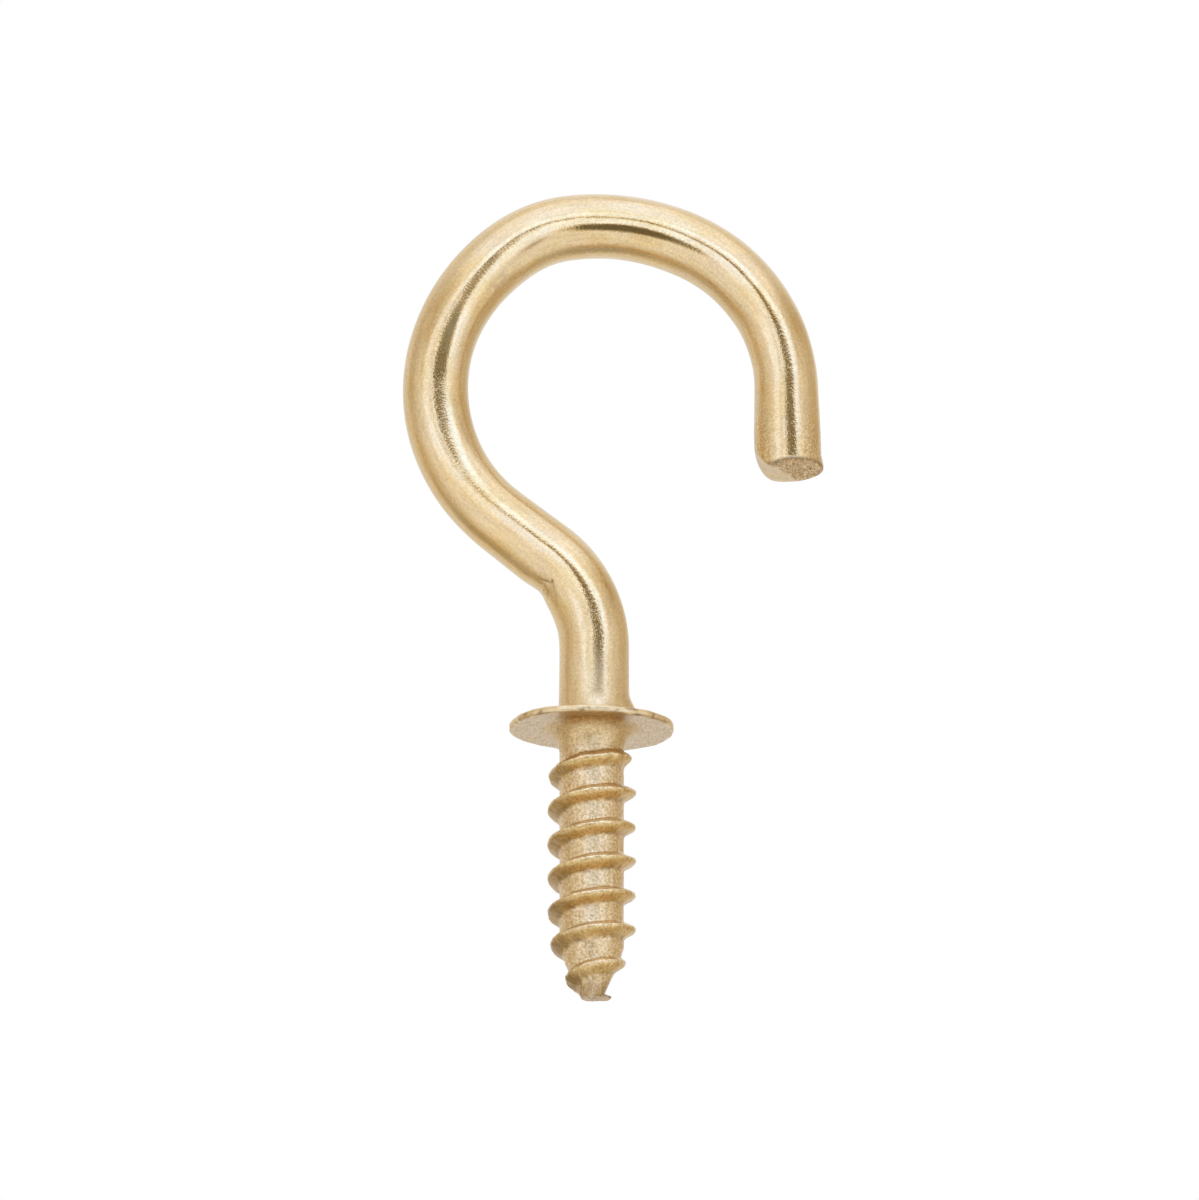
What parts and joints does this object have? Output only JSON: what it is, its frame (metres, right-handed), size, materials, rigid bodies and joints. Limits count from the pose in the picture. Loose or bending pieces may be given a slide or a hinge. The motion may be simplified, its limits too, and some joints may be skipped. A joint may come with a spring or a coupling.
{
  "type": "cup hook",
  "caption": "Brass cup hook: wire bent to an open round bow, with a pressed collar that seats on the shelf and a tapering wood-screw thread below it.",
  "frame": {"origin": "centre of the collar's seat face, on the screw's axis", "axes": "-Z along the screw, into the shelf; +Z along the shank to the bow's crown; the bow lies in the XZ plane and its mouth opens on the +X side. In use under a shelf this frame is upside down, and the cup hangs in the crown."},
  "size_m": [0.0198, 0.0066, 0.0397],
  "materials": {
    "brass": "satin drawn wire, softly worn, with fine streaks, nicks and a grainy sheared end"
  },
  "bodies": {
    "root": {"cup_hook": "brass"}
  },
  "joints": []
}
